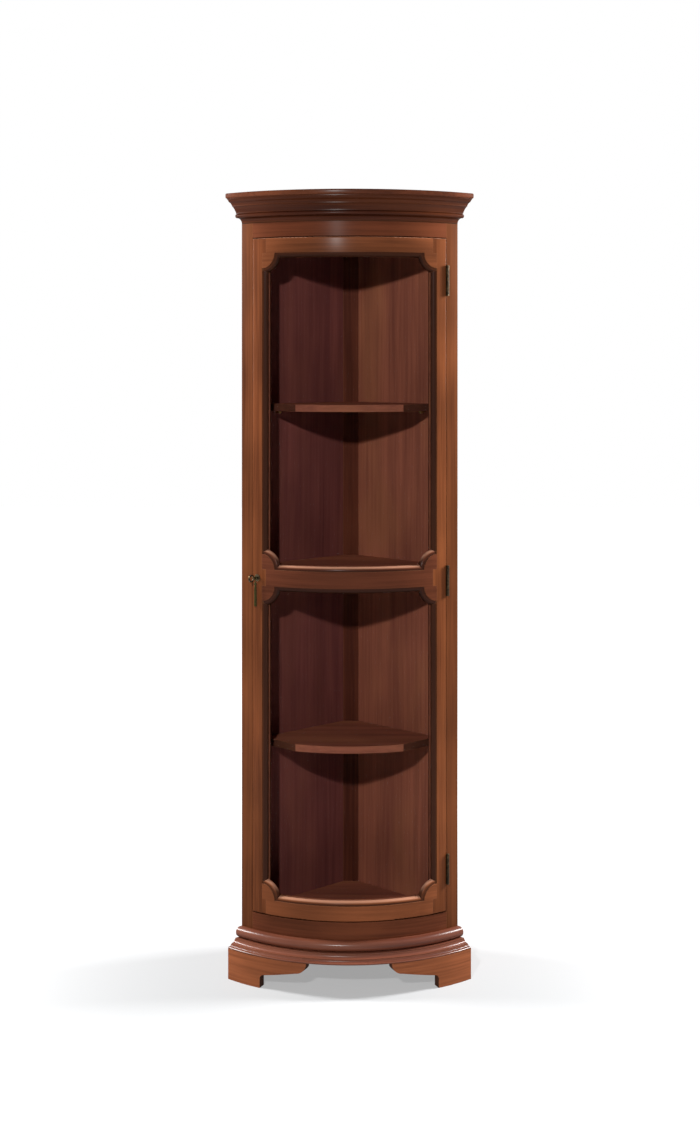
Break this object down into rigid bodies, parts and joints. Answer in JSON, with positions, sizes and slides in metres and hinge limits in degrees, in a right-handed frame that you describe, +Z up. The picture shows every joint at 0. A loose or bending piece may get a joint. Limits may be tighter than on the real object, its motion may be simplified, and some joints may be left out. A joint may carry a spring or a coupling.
{
  "type": "corner curio cabinet",
  "caption": "Bow-fronted corner display cabinet with a glazed door, eared door lights, loose shelves, moulded cornice, moulded base and bracket feet.",
  "frame": {"origin": "middle of the footprint, on the floor", "axes": "+Z up, -Y out of the room corner towards the viewer, +X to the viewer's right"},
  "size_m": [0.6294, 0.4449, 1.993],
  "materials": {
    "polished_wood": "reddish brown stained hardwood, satin polish",
    "inner_wood": "darker stained veneer, satin",
    "glass": "clear bowed glass",
    "aged_brass": "dark aged brass",
    "brass": "polished brass",
    "tassel_thread": "twisted olive thread"
  },
  "bodies": {
    "case": {"base_moulding": "polished_wood", "bottom_board": "inner_wood", "bottom_cleat_left": "inner_wood", "bottom_cleat_right": "inner_wood", "corner_post": "inner_wood", "cornice_moulding": "polished_wood", "frieze_rail": "polished_wood", "high_hinge_case_leaf": "aged_brass", "high_hinge_pin": "aged_brass", "left_foot": "polished_wood", "left_plinth": "polished_wood", "left_post": "polished_wood", "left_wall_panel": "inner_wood", "low_hinge_case_leaf": "aged_brass", "low_hinge_pin": "aged_brass", "lower_shelf": "inner_wood", "middle_board": "inner_wood", "middle_cleat_left": "inner_wood", "middle_cleat_right": "inner_wood", "middle_hinge_case_leaf": "aged_brass", "middle_hinge_pin": "aged_brass", "right_foot": "polished_wood", "right_plinth": "polished_wood", "right_post": "polished_wood", "right_wall_panel": "inner_wood", "shelf_pegs": "brass", "sill_rail": "polished_wood", "strike_plate": "brass", "top_board": "inner_wood", "top_cap": "polished_wood", "top_cleat_left": "inner_wood", "top_cleat_right": "inner_wood", "upper_shelf": "inner_wood"},
    "door": {"door_bottom_rail": "polished_wood", "door_left_stile": "polished_wood", "door_middle_rail": "polished_wood", "door_right_stile": "polished_wood", "door_top_rail": "polished_wood", "high_hinge_door_leaf": "aged_brass", "keyhole_plate": "brass", "lock_case": "brass", "low_hinge_door_leaf": "aged_brass", "lower_glass": "glass", "lower_glass_bead": "polished_wood", "middle_hinge_door_leaf": "aged_brass", "upper_glass": "glass", "upper_glass_bead": "polished_wood"},
    "bolt": {"lock_bolt": "brass"},
    "key": {"key": "brass"},
    "tassel": {"tassel": "tassel_thread"}
  },
  "joints": [
    {"name": "door_swing", "type": "hinge", "parent": "case", "child": "door", "pos_m": [0.24956, -0.08626, 1.01], "axis": [0, 0, 1], "range_deg": [0, 115]},
    {"name": "key_turn", "type": "hinge", "parent": "door", "child": "key", "pos_m": [-0.23383, -0.09337, 1.019], "axis": [-0.595, -0.8037, 0], "range_deg": [0, 180]},
    {"name": "bolt_slide", "type": "slide", "parent": "door", "child": "bolt", "axis": [-0.8037, 0.595, 0], "range_m": [0, 0.008]},
    {"name": "tassel_hang", "type": "hinge", "parent": "key", "child": "tassel", "pos_m": [-0.23383, -0.09337, 1.019], "axis": [-0.595, -0.8037, 0], "range_deg": [-180, 0]}
  ],
  "couplings": [
    {"joint": "bolt_slide", "follows": "key_turn", "m_per_rad": 0.0025465},
    {"joint": "tassel_hang", "follows": "key_turn", "ratio": -1}
  ]
}
